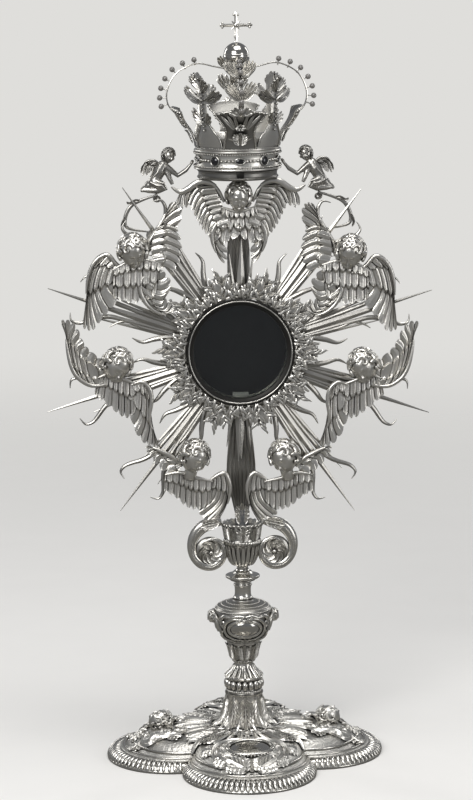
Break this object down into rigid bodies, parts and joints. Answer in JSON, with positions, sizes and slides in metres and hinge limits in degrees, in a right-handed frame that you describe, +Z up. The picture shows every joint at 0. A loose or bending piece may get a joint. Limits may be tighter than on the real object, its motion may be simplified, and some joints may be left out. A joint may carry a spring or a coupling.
{
  "type": "sunburst monstrance",
  "caption": "Silver sunburst monstrance on a lobed foot, with a glazed round window, hinged rear door, winged heads, rays and an openwork crown.",
  "frame": {"origin": "centre of the foot's four lobes, on the surface that it stands on", "axes": "+Z up along the stem, -Y out of the front window, +X to the right of a viewer who faces the window"},
  "size_m": [0.3854, 0.28, 0.7512],
  "materials": {
    "silver": "chased and burnished silver, darkened in the recesses",
    "steel": "plain steel, dull",
    "glass": "clear, slightly wavy crown glass",
    "pearl": "pearl, soft lustre",
    "dark_stone": "polished dark stone in a collet"
  },
  "bodies": {
    "monstrance": {"foot_rim": "silver", "foot_shell": "silver", "foot_cherub_left": "silver", "foot_cherub_right": "silver", "foot_cartouche_front": "silver", "foot_cartouche_back": "silver", "acanthus_trumpet": "silver", "gadrooned_ring": "silver", "acanthus_bulb": "silver", "knop": "silver", "upper_neck": "silver", "stem_disc": "silver", "socket_cup": "silver", "sun_stem": "silver", "case_ring": "silver", "front_bezel": "silver", "glass_clamp_ring": "silver", "lunette_rail": "silver", "hinge_pin": "silver", "latch_screw": "silver", "acanthus_wreath": "silver", "cherub_top": "silver", "crown_post": "silver", "crown_drum": "silver", "crown_circlet": "silver", "crown_arches": "silver", "crown_orb": "silver", "crown_cross": "silver", "ray_bundle_1": "silver", "ray_bundle_2": "silver", "ray_bundle_3": "silver", "ray_bundle_4": "silver", "ray_bundle_5": "silver", "ray_bundle_6": "silver", "ray_bundle_7": "silver", "ray_bundle_8": "silver", "ray_bundle_9": "silver", "ray_bundle_10": "silver", "cherub_upper_left": "silver", "cherub_middle_left": "silver", "cherub_lower_left": "silver", "volute_left": "silver", "volute_bolt_left": "silver", "putto_scroll_left": "silver", "putto_left": "silver", "cherub_upper_right": "silver", "cherub_middle_right": "silver", "cherub_lower_right": "silver", "volute_right": "silver", "volute_bolt_right": "silver", "putto_scroll_right": "silver", "putto_right": "silver", "tie_rod": "steel", "tie_rod_nut": "steel", "crown_nut": "steel", "front_glass": "glass"},
    "rear_door": {"rear_door_frame": "silver", "rear_glass": "glass"},
    "door_latch": {"door_latch": "silver"}
  },
  "joints": [
    {"name": "rear_door_hinge", "type": "hinge", "parent": "monstrance", "child": "rear_door", "pos_m": [0.0559, 0.0098, 0.4157], "axis": [0, 0, -1], "range_deg": [0, 110]},
    {"name": "door_latch_turn", "type": "hinge", "parent": "monstrance", "child": "door_latch", "pos_m": [-0.0577, 0.0124, 0.4157], "axis": [0, 1, 0], "range_deg": [0, 90]}
  ]
}
